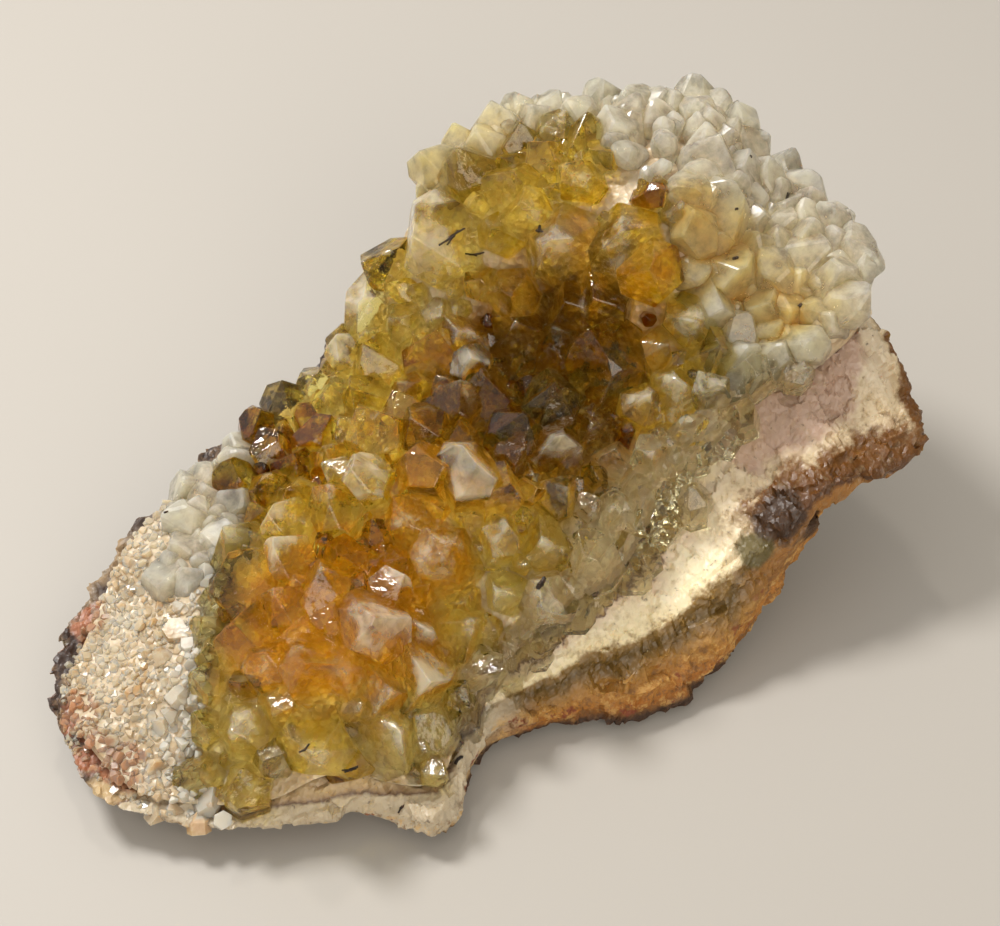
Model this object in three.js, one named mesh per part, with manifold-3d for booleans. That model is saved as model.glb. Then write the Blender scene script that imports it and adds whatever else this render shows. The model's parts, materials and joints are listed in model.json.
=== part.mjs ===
// A hand-size piece of geode wall: citrine points grown on massive quartz, with a band of amethyst and a rind of host rock.
// It lies on a small flat spot of its rind. Millimetres, +Z up, +X along the specimen, the broken face towards -Y.
import * as THREE from 'three';
import { mergeVertices } from 'three/addons/utils/BufferGeometryUtils.js';
import Module from 'manifold-3d';

const wasm = await Module();
wasm.setup();

// Driving dimensions
const CRUST = 5; // thickness of the layer of grown-together crystal roots
const CRUST_EDGE = 1.3; // its thickness where the specimen runs out thin
const CRUST_SHARE = 0.3; // its share of the height above the thin edge
const THIN_EDGE = 4.5; // height of the bed at the thin edge
const SEAM = 0.5; // gap between the crust and the quartz below it
const ROOT_GAP = 0.3; // gap that the deepest crystal roots keep to the quartz
const SPREAD = 6.5; // how far a spot height reaches
const SPINE = [-34, 36]; // ends of the line along X that the inner rings draw in to
const STEPS = 2; // facets between neighbouring stations
const BED_SHARES = [0.3, 0.66, 1]; // rings of the bed, from the inmost out to the rim
const ROUGHNESS = 0.45; // how far the broken wall stands in or out of its smooth form
const ROOT = 2.6; // how deep a crystal's prism is rooted in the crust, at most
const ROOT_SHARE = 0.7; // and the most of the crust's thickness that it takes
const SIX_SIDED = 3.9; // from this radius up a crystal's tip shows six faces, below it three
const FACE_TILT = THREE.MathUtils.degToRad(51.8); // between a quartz tip face's normal and the crystal's axis
const CENTRE = new THREE.Vector3(4.5, -1.45, 0); // shift that puts the origin under the middle of the specimen

// Heights of the crystal bed at spots of the plan: x, y, z
const SPOT_HEIGHTS = [
  [-54, 7, 9], [-49, -16, 6], [-37, -3, 14], [-36, 19, 15], [-25, -28, 6], [-26, -11, 19], [-21, 24, 16],
  [-3, -9, 25], [1, -18, 14], [-15, -19, 7], [14, -14, 20], [28, -13, 28], [46, -12, 35], [47, -2, 37],
  [34, 22, 42], [26, 10, 43], [20, 30, 41], [9, 28, 38], [-3, 27, 19], [3, 7, 22], [13, 0, 26],
];

// Stations round the specimen, counter-clockwise from its front corner.
// rim: edge of the crystal bed. waist: the side wall's ledge. sill: the wall below it.
// hem: the rind's lower edge. foot: edge of the flat spot.
const STATIONS = [
  { rim: [-26, -26.5], waist: [-28, -30, 5], sill: [-28.5, -31, 3], hem: [-27, -30, 1.5], foot: [-16, -20] },
  { rim: [-20, -22.5], waist: [-21.5, -26.5, 5.5], sill: [-22, -27, 3.5], hem: [-20, -25.5, 1.2], foot: [-14, -20.3] },
  { rim: [-15, -19], waist: [-15, -21.5, 6.5], sill: [-15, -23, 4], hem: [-14.5, -22.5, 1], foot: [-10, -20.5] },
  { rim: [1, -18], waist: [1, -24, 8], sill: [0.5, -28, 4], hem: [0, -29, 1.2], foot: [1, -27] },
  { rim: [14, -13], waist: [14, -25, 12], sill: [13.5, -28.5, 6], hem: [12, -28.5, 1.5], foot: [11, -27] },
  { rim: [28, -12], waist: [29, -24, 19], sill: [27, -24.5, 13], hem: [23, -24.5, 5], foot: [19, -21] },
  { rim: [40, -14], waist: [42.5, -26, 19], sill: [35.5, -21, 14.5], hem: [32, -19, 9], foot: [23, -14] },
  { rim: [45, -9], waist: [45, -17, 26], sill: [41, -12, 19], hem: [38, -10, 14], foot: [24, -6] },
  { rim: [48, 1], waist: [48, 0, 29], sill: [45, 2, 20], hem: [41, 3, 14], foot: [23, 3] },
  { rim: [45, 14], waist: [46, 15, 29], sill: [43, 15, 20], hem: [39, 14, 13], foot: [20, 8] },
  { rim: [36, 24], waist: [38, 26, 27], sill: [36, 25, 18], hem: [32, 23, 11], foot: [15, 12] },
  { rim: [23, 31], waist: [24, 33, 24], sill: [22, 32, 16], hem: [20, 28, 9], foot: [7, 13] },
  { rim: [8, 30], waist: [8, 33, 20], sill: [7, 32, 13], hem: [6, 28, 7], foot: [-1, 12] },
  { rim: [-9, 26], waist: [-9, 31, 14], sill: [-9, 30, 10], hem: [-8, 27, 6], foot: [-9, 9] },
  { rim: [-23, 22], waist: [-24, 27, 11], sill: [-24, 26, 8], hem: [-22, 23, 5.5], foot: [-15, 4] },
  { rim: [-37, 17], waist: [-39, 21, 10], sill: [-38, 20, 8], hem: [-35, 17, 5.5], foot: [-20, 0] },
  { rim: [-49, 10], waist: [-52, 13, 8], sill: [-51, 12, 6.5], hem: [-47, 9, 5], foot: [-23, -5] },
  { rim: [-55, 1], waist: [-58, 1, 7], sill: [-57, 1, 6], hem: [-53, 0, 4.5], foot: [-23, -10] },
  { rim: [-53, -10], waist: [-56, -11, 5.5], sill: [-55, -11, 4.5], hem: [-51, -10, 3.5], foot: [-21, -14] },
  { rim: [-44, -18], waist: [-45, -20, 4.5], sill: [-45, -20, 3.5], hem: [-42, -19, 2.5], foot: [-19, -17] },
  { rim: [-34, -22], waist: [-34.5, -24, 4.5], sill: [-34.5, -24, 4], hem: [-33, -23, 3], foot: [-18, -19] },
];

// Lumps of rind and broken quartz that stand out of the wall: middle, then half sizes along x, y and z
const LUMPS = [
  [36, -22, 18, 7.5, 4, 2], [27, -21, 17, 4, 3, 2.5], [20, -24, 7, 5, 3.5, 4], [12, -26, 4, 5, 3, 3],
  [3, -25.5, 5, 6, 3, 2.6], [-7, -22, 4, 5, 3, 2.4], [24, -20, 11, 3.5, 3, 3], [-36, 19.5, 9, 3, 2.4, 3],
  [-25, 24, 11, 3.5, 2.6, 3], [-14, 27, 12, 4, 3, 3], [-4, 29, 15, 4.5, 3, 4], [-47, 12, 7, 4, 2.5, 2.4],
  [-54, 5, 6.5, 3, 3, 2.2], [44, 8, 24, 3.5, 5, 4], [31, 27, 21, 6, 3.5, 5], [14, 30, 17, 6, 3.5, 4],
];

// Hollows broken out of the wall, in the same form: the notch under the slab, and two dents
const HOLLOWS = [[29, -24, 14.5, 3.2, 2.6, 1.3], [-21, -28, 2, 3, 2, 1.6], [43, -14, 22, 3, 4, 2]];

// The larger crystals: plan x, y, radius, height above the bed, lean along x and y
const LOBE_POINTS = [
  [-24, 12, 2, 3.4, 0, -0.1], [-22, 9, 2.2, 4.2, -0.3, -0.2], [-17, 12, 1.6, 3, 0, 0], [-26, 4, 4, 5, -0.25, -0.1],
  [-20.5, 2, 2.8, 4.6, 0.1, 0], [-15.5, 2, 2.2, 6, 0.1, 0], [-10.5, -1.5, 2.8, 5.2, 0.35, -0.5],
  [-7.5, -5, 2.8, 7, 0.1, 0], [-13, -9, 3.3, 5, 0.1, -0.3], [-17.5, -6.5, 2, 3.4, 0, -0.2],
  [-25, -12, 3.5, 5, -0.2, -0.2], [-20.5, -13.5, 2.5, 3.6, 0, -0.3], [-16, -14.3, 3, 4.4, 0.1, -0.2],
  [-22.6, -17.5, 4.2, 6, -0.3, -0.5], [-24.5, -14.5, 1.8, 3, 0, 0], [-36.5, -5.7, 3.3, 4.6, -0.2, 0],
  [-31.5, -5.6, 2.6, 4.4, 0, 0.1], [-32.4, 0.6, 3.5, 5.4, 0, 0.2], [-31, 6, 3, 5, -0.3, 0.2],
  [-31, 3.5, 2, 4, 0, 0], [-40.4, -4.3, 1.5, 2.6, 0, 0], [-32, -14.4, 3.2, 4.8, 0, -0.3],
  [-35.3, -19, 3.1, 4.4, -0.1, -0.2], [-40.8, -13, 3.2, 4.6, -0.2, -0.1], [-46.4, -13, 2.5, 3, 0, -0.1],
  [-27.6, -18.3, 3, 4.2, 0, -0.1], [-28.7, -22.2, 2.8, 3.6, 0, -0.2], [-12.9, -12.5, 1.8, 3.4, 0.1, 0],
  [-35.5, -10.4, 2.6, 3.6, 0, -0.1], [-27.4, 0, 2.6, 4, 0, 0], [-26.5, -6.4, 2.8, 4, 0, 0],
];
const VALLEY_POINTS = [
  [0, 14, 3.3, 4.6, 0, 0], [3.4, 10.8, 1.9, 7, -0.3, -0.5], [4.1, 14.3, 2.8, 4, 0, 0], [14.8, -0.9, 4.2, 8, -0.15, 0.3],
  [1.5, 3.5, 3, 5, 0, 0], [1, -2.5, 3.2, 5, 0.1, -0.3], [10.4, 4, 2, 4, 0, -0.2], [10, 10, 2.6, 4, 0, 0],
  [12.5, 5.6, 2.3, 3.8, 0, 0], [10.4, 12.4, 2.6, 4.2, 0, 0], [15, 7, 3, 5, 0, 0], [18, 4.8, 3, 5, 0, 0],
  [-2.9, 4.5, 2.4, 5, 0, 0], [-8.3, 15.4, 2.5, 4.2, -0.3, -0.4], [-4.5, 19.7, 3, 4.4, -0.1, 0],
  [-7, 23.4, 1.8, 4.4, 0, 0], [-12, 13.6, 2.3, 3.8, -0.1, 0], [-11.5, 7, 2.8, 4.6, 0, 0], [-15.2, 10.8, 1.8, 3, 0, 0],
  [6.4, -1.2, 2.8, 5, 0, -0.2], [3.5, -6, 3, 4, 0, -0.2], [1, -10.8, 2.2, 3.2, 0, -0.3], [-5.4, -7.5, 2.6, 4, 0.2, -0.3],
];
const DOME_POINTS = [
  [13, 26, 3.2, 4.4, 0, 0], [10.5, 31, 2.5, 3.4, -0.1, 0.2], [5.5, 31, 3.2, 4, -0.4, 0.2],
  [2.3, 28.4, 2.6, 4, -0.4, 0.1], [6.7, 23, 4.2, 5.6, -0.1, 0], [15.3, 20, 3, 4.4, 0, -0.1], [11.7, 18.2, 2.2, 3.6, 0, 0],
  [15.1, 16.7, 2.6, 4, 0, 0], [17.2, 10.8, 4, 4.6, 0, 0], [21.5, 6, 3.6, 4.6, 0, 0], [22.8, 2.2, 3, 4.6, 0, 0],
  [23.2, 12, 3, 4, 0, 0], [11.6, 13.8, 2.4, 5, 0, -0.1], [18.5, 30, 2.5, 3.2, 0, 0.1], [19.5, 26, 2.5, 3, 0, 0],
  [24.5, -2.5, 2.6, 4, 0, 0], [28, -2.8, 2.8, 3.4, 0, -0.2], [31.5, -2, 3, 3.4, 0, 0], [33.5, -6, 2.6, 3, 0, -0.2],
  [25.5, -7, 3, 4, 0.1, -0.3], [19.5, -7.5, 3, 4.2, 0.1, -0.3], [33, 2.5, 3, 3, 0, 0], [29, 8.4, 2.8, 3.4, 0, -0.2],
  [35, 8, 2.9, 3, 0, 0], [29.4, 14.6, 3, 3.2, 0, 0], [25.5, 20, 2.8, 3, 0, 0],
];

// Smaller crystals that fill the bed between the larger ones: seed, tries, radii, and how close two may stand
const FILL = { seed: 7, tries: 2600, spacing: 0.95 };
const MIDDLE_RADII = [2.2, 3.2];
const KNOB_RADII = [2.2, 3.1];
const FLANK_RADII = [1.2, 2];

// Random numbers between 0 and 1, the same run of them for one seed
function randomRun(seed) {
  let state = seed;
  return () => {
    state = (state + 0x6d2b79f5) | 0;
    let mixed = Math.imul(state ^ (state >>> 15), 1 | state);
    mixed = (mixed + Math.imul(mixed ^ (mixed >>> 7), 61 | mixed)) ^ mixed;
    return ((mixed ^ (mixed >>> 14)) >>> 0) / 4294967296;
  };
}

// Height of the crystal bed: neighbouring spot heights blended by distance
function bedHeight(x, y) {
  let sum = 0;
  let weights = 0;
  for (const [sx, sy, sz] of SPOT_HEIGHTS) {
    const weight = Math.exp(-((x - sx) ** 2 + (y - sy) ** 2) / (2 * SPREAD ** 2)) + 1e-9;
    sum += weight * sz;
    weights += weight;
  }
  return sum / weights;
}

// Direction square to the crystal bed, softened towards upright
function bedNormal(x, y) {
  const reach = 2;
  const slopeX = (bedHeight(x + reach, y) - bedHeight(x - reach, y)) / (2 * reach);
  const slopeY = (bedHeight(x, y + reach) - bedHeight(x, y - reach)) / (2 * reach);
  return new THREE.Vector3(-slopeX, -slopeY, 1.4).normalize();
}

// Points of a closed curve through one kind of station point
function ringThrough(key) {
  const through = STATIONS.map((station) => new THREE.Vector3(...station[key]));
  const curve = new THREE.CatmullRomCurve3(through, true, 'catmullrom', 0.5);
  const count = STATIONS.length * STEPS;
  return Array.from({ length: count }, (_, i) => curve.getPoint(i / count));
}

// The same ring with its points moved a little at random, as rock breaks
function roughened(ring, seed) {
  const random = randomRun(seed);
  const shift = () => (random() * 2 - 1) * ROUGHNESS;
  return ring.map((p) => new THREE.Vector3(p.x + shift(), p.y + shift(), p.z + shift()));
}

const rimRing = ringThrough('rim');
const waistRing = roughened(ringThrough('waist'), 11);
const sillRing = roughened(ringThrough('sill'), 12);
const hemRing = roughened(ringThrough('hem'), 13);
const footRing = ringThrough('foot');

// Thickness of the crust: full where the specimen is tall, thin at its low edges
function crustDepth(x, y) {
  return THREE.MathUtils.clamp(CRUST_SHARE * (bedHeight(x, y) - THIN_EDGE), CRUST_EDGE, CRUST);
}

// The rim ring drawn in towards the spine, laid on the bed at a share of the crust's depth and a further gap below it
function bedRing(share, depthShare, gap = 0) {
  return rimRing.map((p) => {
    const spineX = THREE.MathUtils.clamp(p.x, ...SPINE);
    const x = spineX + (p.x - spineX) * share;
    const y = p.y * share;
    return new THREE.Vector3(x, y, bedHeight(x, y) - depthShare * crustDepth(x, y) - gap);
  });
}

function mixRings(a, b, share) {
  return a.map((p, i) => p.clone().lerp(b[i], share));
}

// A closed geometry from rings of equal count, the first and last ring filled across in plan
function closedLoft(rings) {
  const count = rings[0].length;
  const positions = rings.flat().flatMap((p) => [p.x, p.y, p.z]);
  const faces = [];
  const at = (ring, i) => ring * count + (i % count);
  for (let ring = 0; ring < rings.length - 1; ring += 1) {
    for (let i = 0; i < count; i += 1) {
      faces.push(at(ring, i), at(ring, i + 1), at(ring + 1, i + 1));
      faces.push(at(ring, i), at(ring + 1, i + 1), at(ring + 1, i));
    }
  }
  const top = rings.length - 1;
  for (const [a, b, c] of THREE.ShapeUtils.triangulateShape(rings[0], [])) {
    faces.push(at(0, c), at(0, b), at(0, a));
  }
  for (const [a, b, c] of THREE.ShapeUtils.triangulateShape(rings[top], [])) {
    faces.push(at(top, a), at(top, b), at(top, c));
  }
  const geometry = new THREE.BufferGeometry();
  geometry.setAttribute('position', new THREE.Float32BufferAttribute(positions, 3));
  geometry.setIndex(faces);
  return geometry;
}

// A closed geometry as a solid that can be cut and joined
function solidOf(geometry) {
  const bare = geometry.clone();
  bare.deleteAttribute('normal');
  bare.deleteAttribute('uv');
  const merged = mergeVertices(bare);
  return new wasm.Manifold(new wasm.Mesh({
    numProp: 3,
    vertProperties: new Float32Array(merged.getAttribute('position').array),
    triVerts: new Uint32Array(merged.index.array),
  }));
}

function geometryOf(solid) {
  const mesh = solid.getMesh();
  const geometry = new THREE.BufferGeometry();
  geometry.setAttribute('position', new THREE.Float32BufferAttribute(mesh.vertProperties, 3));
  geometry.setIndex(Array.from(mesh.triVerts));
  return geometry;
}

function joined(solids) {
  return solids.reduce((whole, solid) => whole.add(solid));
}

// The largest body of a solid: chips that were cut loose fall away, and pockets sealed between crystals fill up
function mainBody(solid) {
  return solid.decompose().reduce((main, part) => (part.volume() > main.volume() ? part : main));
}

// A rough boulder, for a lump that stands out of the wall or a hollow broken into it
function boulder([x, y, z, ...halves], seed, grown = 0) {
  const random = randomRun(seed);
  const [halfX, halfY, halfZ] = halves.map((half) => half + grown);
  const bare = new THREE.DodecahedronGeometry(1);
  bare.deleteAttribute('normal');
  bare.deleteAttribute('uv');
  const geometry = mergeVertices(bare);
  const position = geometry.getAttribute('position');
  for (let i = 0; i < position.count; i += 1) {
    const bulge = 0.82 + 0.3 * random();
    position.setXYZ(
      i,
      x + position.getX(i) * halfX * bulge,
      y + position.getY(i) * halfY * bulge,
      z + position.getZ(i) * halfZ * bulge,
    );
  }
  return solidOf(geometry);
}

// One quartz point on the bed: a six-sided prism closed by six tip faces, three of them larger
function quartzPoint([x, y, radius, height, leanX, leanY], random) {
  const root = Math.min(ROOT, ROOT_SHARE * crustDepth(x, y));
  const prism = new THREE.CylinderGeometry(radius, radius, height + root, 6);
  prism.translate(0, (height - root) / 2, 0);
  let solid = solidOf(prism);
  for (let side = 0; side < 6; side += 1) {
    const turn = THREE.MathUtils.degToRad(30 + 60 * side);
    const behind = radius < SIX_SIDED ? radius * 3 : radius * 0.3;
    const setBack = (side % 2 ? 0.05 * radius : behind) + random() * 0.35 * radius;
    const normal = [
      Math.sin(turn) * Math.sin(FACE_TILT),
      Math.cos(FACE_TILT),
      Math.cos(turn) * Math.sin(FACE_TILT),
    ];
    const reach = (height - 0.2 * radius + setBack) * Math.cos(FACE_TILT);
    solid = solid.trimByPlane(normal.map((n) => -n), -reach);
  }
  const axis = bedNormal(x, y).add(new THREE.Vector3(leanX, leanY, 0)).normalize();
  const place = new THREE.Matrix4().compose(
    new THREE.Vector3(x, y, bedHeight(x, y)),
    new THREE.Quaternion().setFromUnitVectors(new THREE.Vector3(0, 1, 0), axis),
    new THREE.Vector3(1, 1, 1),
  );
  place.multiply(new THREE.Matrix4().makeRotationY(random() * Math.PI));
  return solid.transform(place.toArray());
}

// True inside the rim of the bed, seen in plan and drawn in by a share
function insideRim(x, y, share) {
  const ring = bedRing(share, 0);
  let inside = false;
  for (let i = 0, j = ring.length - 1; i < ring.length; j = i, i += 1) {
    const crosses = ring[i].y > y !== ring[j].y > y;
    const cut = ((ring[j].x - ring[i].x) * (y - ring[i].y)) / (ring[j].y - ring[i].y) + ring[i].x;
    inside = crosses && x < cut ? !inside : inside;
  }
  return inside;
}

// Radii of the small crystals by where they stand: the sugary left flank, the knobby dome, or the middle
function fillRadii(x, y) {
  if (x < -41 - 0.3 * y) {
    return FLANK_RADII;
  }
  return x > 24 || y > 18 ? KNOB_RADII : MIDDLE_RADII;
}

// Small crystals thrown at the bed; one stays where it stands clear of the ones there before
function fillPoints(larger, random) {
  const standing = larger.map((point) => [...point]);
  const fill = [];
  for (let i = 0; i < FILL.tries; i += 1) {
    const x = -56 + 105 * random();
    const y = -28 + 61 * random();
    const [least, most] = fillRadii(x, y);
    const radius = least + (most - least) * random();
    const height = radius * (1 + 0.7 * random());
    const lean = [random() - 0.5, random() - 0.5].map((n) => n * 0.5);
    const clear = standing.every(([sx, sy, sr]) => Math.hypot(x - sx, y - sy) > FILL.spacing * (radius + sr));
    if (clear && insideRim(x, y, 0.97)) {
      const point = [x, y, radius, height, ...lean];
      standing.push(point);
      fill.push(point);
    }
  }
  return fill;
}

function matrixRings(gap, outward) {
  const rim = bedRing(1, 1, gap);
  const widened = (ring) => ring.map((p) => new THREE.Vector3(p.x * outward, p.y * outward, p.z));
  return [
    footRing,
    mixRings(footRing, hemRing, 0.6),
    hemRing,
    sillRing,
    waistRing,
    mixRings(waistRing, rim, 0.5),
    rim,
    ...BED_SHARES.toReversed().slice(1).map((share) => bedRing(share, 1, gap)),
  ].map(widened);
}

function crustRings() {
  return [
    ...BED_SHARES.map((share) => bedRing(share, 1)),
    bedRing(1.02, 0.5),
    ...BED_SHARES.toReversed().map((share) => bedRing(share, 0)),
  ];
}

function lumpSolids(grown) {
  return LUMPS.map((lump, i) => boulder(lump, 100 + i, grown));
}

function matrixSolid() {
  const wall = solidOf(closedLoft(matrixRings(SEAM, 1)));
  const hollows = HOLLOWS.map((hollow, i) => boulder(hollow, 200 + i));
  return joined([wall, ...lumpSolids(0)]).subtract(joined(hollows)).trimByPlane([0, 0, 1], 0);
}

// The crust and its crystals, joined in one body and kept clear of the matrix
function crustSolid() {
  const random = randomRun(FILL.seed);
  const larger = [...LOBE_POINTS, ...VALLEY_POINTS, ...DOME_POINTS];
  const points = [...larger, ...fillPoints(larger, random)];
  const crystals = points.map((point) => quartzPoint(point, random));
  const clearance = solidOf(closedLoft(matrixRings(SEAM - ROOT_GAP, 1.01)));
  const crust = joined([solidOf(closedLoft(crustRings())), ...crystals]);
  return mainBody(crust.subtract(joined([clearance, ...lumpSolids(ROOT_GAP)])));
}

function pieceOf(name, solid, color, roughness) {
  const piece = new THREE.Mesh(geometryOf(solid), new THREE.MeshStandardMaterial({ color, roughness }));
  piece.name = name;
  piece.position.copy(CENTRE);
  return piece;
}

const specimen = new THREE.Group();
specimen.add(pieceOf('quartz_matrix', matrixSolid(), 0xcfc6b8, 0.7));
specimen.add(pieceOf('crystal_crust', crustSolid(), 0xc98f2b, 0.2));

export default specimen;
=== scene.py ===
import itertools
import math

import bmesh
import bpy
import numpy as np
from mathutils import Matrix, Vector, kdtree, noise
from mathutils.bvhtree import BVHTree
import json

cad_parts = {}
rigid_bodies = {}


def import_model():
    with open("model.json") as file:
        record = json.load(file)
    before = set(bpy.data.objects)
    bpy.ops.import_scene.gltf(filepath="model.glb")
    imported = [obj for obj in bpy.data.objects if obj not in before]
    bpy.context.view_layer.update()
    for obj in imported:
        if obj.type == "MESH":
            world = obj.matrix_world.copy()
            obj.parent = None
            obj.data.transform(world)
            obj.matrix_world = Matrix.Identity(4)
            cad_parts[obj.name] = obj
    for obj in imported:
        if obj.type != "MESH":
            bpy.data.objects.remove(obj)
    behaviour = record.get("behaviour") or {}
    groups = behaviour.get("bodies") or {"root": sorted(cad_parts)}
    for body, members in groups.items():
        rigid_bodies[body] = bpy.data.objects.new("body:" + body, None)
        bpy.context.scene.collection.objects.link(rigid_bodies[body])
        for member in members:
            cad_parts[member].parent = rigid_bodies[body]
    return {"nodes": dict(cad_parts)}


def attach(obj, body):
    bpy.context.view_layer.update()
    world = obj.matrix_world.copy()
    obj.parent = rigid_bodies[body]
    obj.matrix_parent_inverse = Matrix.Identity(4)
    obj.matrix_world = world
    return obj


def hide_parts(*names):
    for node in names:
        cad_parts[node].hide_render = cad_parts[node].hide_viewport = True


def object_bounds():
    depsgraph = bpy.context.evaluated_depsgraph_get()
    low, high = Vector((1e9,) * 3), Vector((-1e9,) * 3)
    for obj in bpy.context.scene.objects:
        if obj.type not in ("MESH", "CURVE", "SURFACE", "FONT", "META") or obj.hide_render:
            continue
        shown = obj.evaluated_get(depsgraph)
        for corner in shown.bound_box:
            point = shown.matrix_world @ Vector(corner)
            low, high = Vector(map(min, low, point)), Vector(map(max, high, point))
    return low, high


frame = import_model()
cad_low, cad_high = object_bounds()

# The massive quartz under the crystals, with its band of amethyst and its rind of host rock. It broke
# off the geode wall along one rough face, and the rest of its outside is the rind that faced the rock.
MM = 0.001
PLAN_SHIFT = np.array([4.5, -1.45, 0.0])
BOX_LOW, BOX_HIGH = np.array(cad_low), np.array(cad_high)
SKIN_VOXEL = 0.45
CHIP_SIZES = [(6.0, 0.5), (2.4, 0.26), (1.1, 0.1)]
WALL_X = [-53, -44, -34, -26, -20, -15, 1, 14, 28, 42, 46, 48]  # places along the broken wall
WALL_LINES = [  # depth (y) and height (z) of its rim, waist, sill and hem at those places along it
    [
        (-10, 5), (-18, 5), (-22, 5), (-26.5, 5), (-22.5, 8), (-19, 6), (-18, 10), (-13, 18), (-12, 24),
        (-14, 29), (-7, 34), (1, 36),
    ],
    [
        (-11, 5.5), (-20, 4.5), (-24, 4.5), (-30, 5), (-26.5, 5.5), (-21.5, 6.5), (-24, 8), (-25, 12),
        (-24, 19), (-26, 19), (-14, 27), (0, 29),
    ],
    [
        (-11, 4.5), (-20, 3.5), (-24, 4), (-31, 3), (-27, 3.5), (-23, 4), (-28, 4), (-28.5, 6),
        (-24.5, 13), (-20, 15.5), (-8, 19), (2, 20),
    ],
    [
        (-10, 3.5), (-19, 2.5), (-23, 3), (-30, 1.5), (-25.5, 1.2), (-22.5, 1), (-29, 1.2), (-28.5, 1.5),
        (-23, 6), (-17, 9), (-9, 12), (3, 14),
    ],
]

NOTCH_BLOCK = [(19, -24, 20), (21, -23.5, 18), (24, -23, 15.5), (27, -22.5, 13.5)]
MOSS_SPOTS = [(17.5, -25.5, 16.5), (19, -24.5, 14)]
RUST_SPOTS = [(-48, 12, 9), (-54.5, 1, 8), (-55, -4, 7), (-53.5, -7, 6.5)]


def fine_skin(node, name, voxel_mm):
    """A finely meshed copy of a solid, ready to be worked."""
    rough = bpy.data.objects.new(name + "_rough", frame["nodes"][node].data.copy())
    bpy.context.scene.collection.objects.link(rough)
    remesh = rough.modifiers.new("fine", "REMESH")
    remesh.mode = "VOXEL"
    remesh.voxel_size = voxel_mm * MM
    evaluated = rough.evaluated_get(bpy.context.evaluated_depsgraph_get())
    mesh = bpy.data.meshes.new_from_object(evaluated)
    bpy.data.objects.remove(rough)
    mesh.name = name
    piece = bpy.data.objects.new(name, mesh)
    bpy.context.scene.collection.objects.link(piece)
    return piece


def points_of(mesh):
    flat = np.empty(len(mesh.vertices) * 3, np.float32)
    mesh.vertices.foreach_get("co", flat)
    return flat.reshape(-1, 3).astype(float)


def mark(mesh, name, values):
    """Keeps one number at each point of a mesh, under a name that a material can read."""
    layer = mesh.attributes.new(name, "FLOAT", "POINT")
    layer.data.foreach_set("value", np.asarray(values, np.float32))


def chipped(points, directions, cell_mm, depth_mm, seed):
    """Points moved along their directions as if the surface broke into flat chips of that size."""
    rng = np.random.default_rng(seed)
    low, high = points.min(0) - cell_mm * MM, points.max(0) + cell_mm * MM
    count = int(np.prod(high - low) / (cell_mm * MM) ** 3)
    seeds = rng.uniform(low, high, (count, 3))
    tilt = rng.normal(size=(count, 3))
    tilt /= np.linalg.norm(tilt, axis=1, keepdims=True)
    lift = rng.uniform(-1, 1, count)
    tree = kdtree.KDTree(count)
    for index, seed_point in enumerate(seeds):
        tree.insert(seed_point, index)
    tree.balance()
    nearest = np.array([tree.find(p)[1] for p in points])
    lean = ((points - seeds[nearest]) * tilt[nearest]).sum(1) / (cell_mm * MM)
    move = (lean * 1.5 + lift[nearest] * 0.6) * depth_mm * MM
    return points + directions * move[:, None]


def down_the_wall(plan):
    """How far down the broken wall each point lies, from 0 at the rim to 3 at the hem, and how far off it."""
    lines = np.array(WALL_LINES, float)
    stops = np.stack([
        np.stack([np.interp(plan[:, 0], WALL_X, line[:, axis]) for axis in (0, 1)], -1) for line in lines
    ])
    here = plan[:, 1:]
    best, drop = np.full(len(plan), 1e9), np.zeros(len(plan))
    for step in range(len(stops) - 1):
        along = stops[step + 1] - stops[step]
        share = np.clip(((here - stops[step]) * along).sum(1) / (along**2).sum(1), 0, 1)
        away = np.linalg.norm(here - stops[step] - along * share[:, None], axis=1)
        nearer = away < best
        best = np.where(nearer, away, best)
        drop = np.where(nearer, step + share, drop)
    return drop, best


def near_spots(plan, spots, reach_mm):
    """1 at the spots, falling to 0 some millimetres away from them."""
    away = np.linalg.norm(plan[:, None, :] - np.array(spots, float)[None], axis=2).min(1)
    return np.exp(-((away / reach_mm) ** 2))


massive = fine_skin("quartz_matrix", "massive_quartz", SKIN_VOXEL)
skin = points_of(massive.data)
normals = np.array([v.normal for v in massive.data.vertices])
plan = skin / MM - PLAN_SHIFT
drop, off_wall = down_the_wall(plan)
worked = skin
for step, (cell, depth) in enumerate(CHIP_SIZES):
    worked = chipped(worked, normals, cell, depth, 20 + step)
grains_here = np.array([noise.noise(Vector(p) * 1.3) for p in plan])
rind_here = np.clip(drop - 1.9 + off_wall * 0.2, 0, 1)
worked += normals * (grains_here * rind_here * 0.25 * MM)[:, None]
on_table = np.clip(skin[:, 2] / (0.6 * MM), 0, 1)[:, None]
worked = np.clip(skin + (worked - skin) * on_table, BOX_LOW, BOX_HIGH)
massive.data.vertices.foreach_set("co", worked.astype(np.float32).ravel())
for key, values in {
    "drop": drop,
    "off_wall": np.clip(off_wall / 6, 0, 1),
    "slab": np.clip((plan[:, 0] - 15) / 6, 0, 1),
    "lobe_side": np.clip((-11 - plan[:, 0]) / 5, 0, 1),
    "lilac": np.clip((plan[:, 0] - 20) / 4, 0, 1) * np.clip((43 - plan[:, 0]) / 6, 0, 1),
    # painted contact shade: 1 at the floor, fading out 2.6 mm above it
    "underside": np.clip((2.6 - plan[:, 2]) / 1.4, 0, 1),
    "notch": near_spots(plan, NOTCH_BLOCK, 3.4),
    "moss": near_spots(plan, MOSS_SPOTS, 2.4),
    "rust": near_spots(plan, RUST_SPOTS, 3.0),
}.items():
    mark(massive.data, key, values)
massive.data.update()


def as_colour(red, green, blue):
    """A colour from the 0 to 255 values that the eye reads on a screen."""
    def linear(value):
        part = value / 255
        return part / 12.92 if part <= 0.04045 else ((part + 0.055) / 1.055) ** 2.4
    return (linear(red), linear(green), linear(blue), 1.0)


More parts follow.
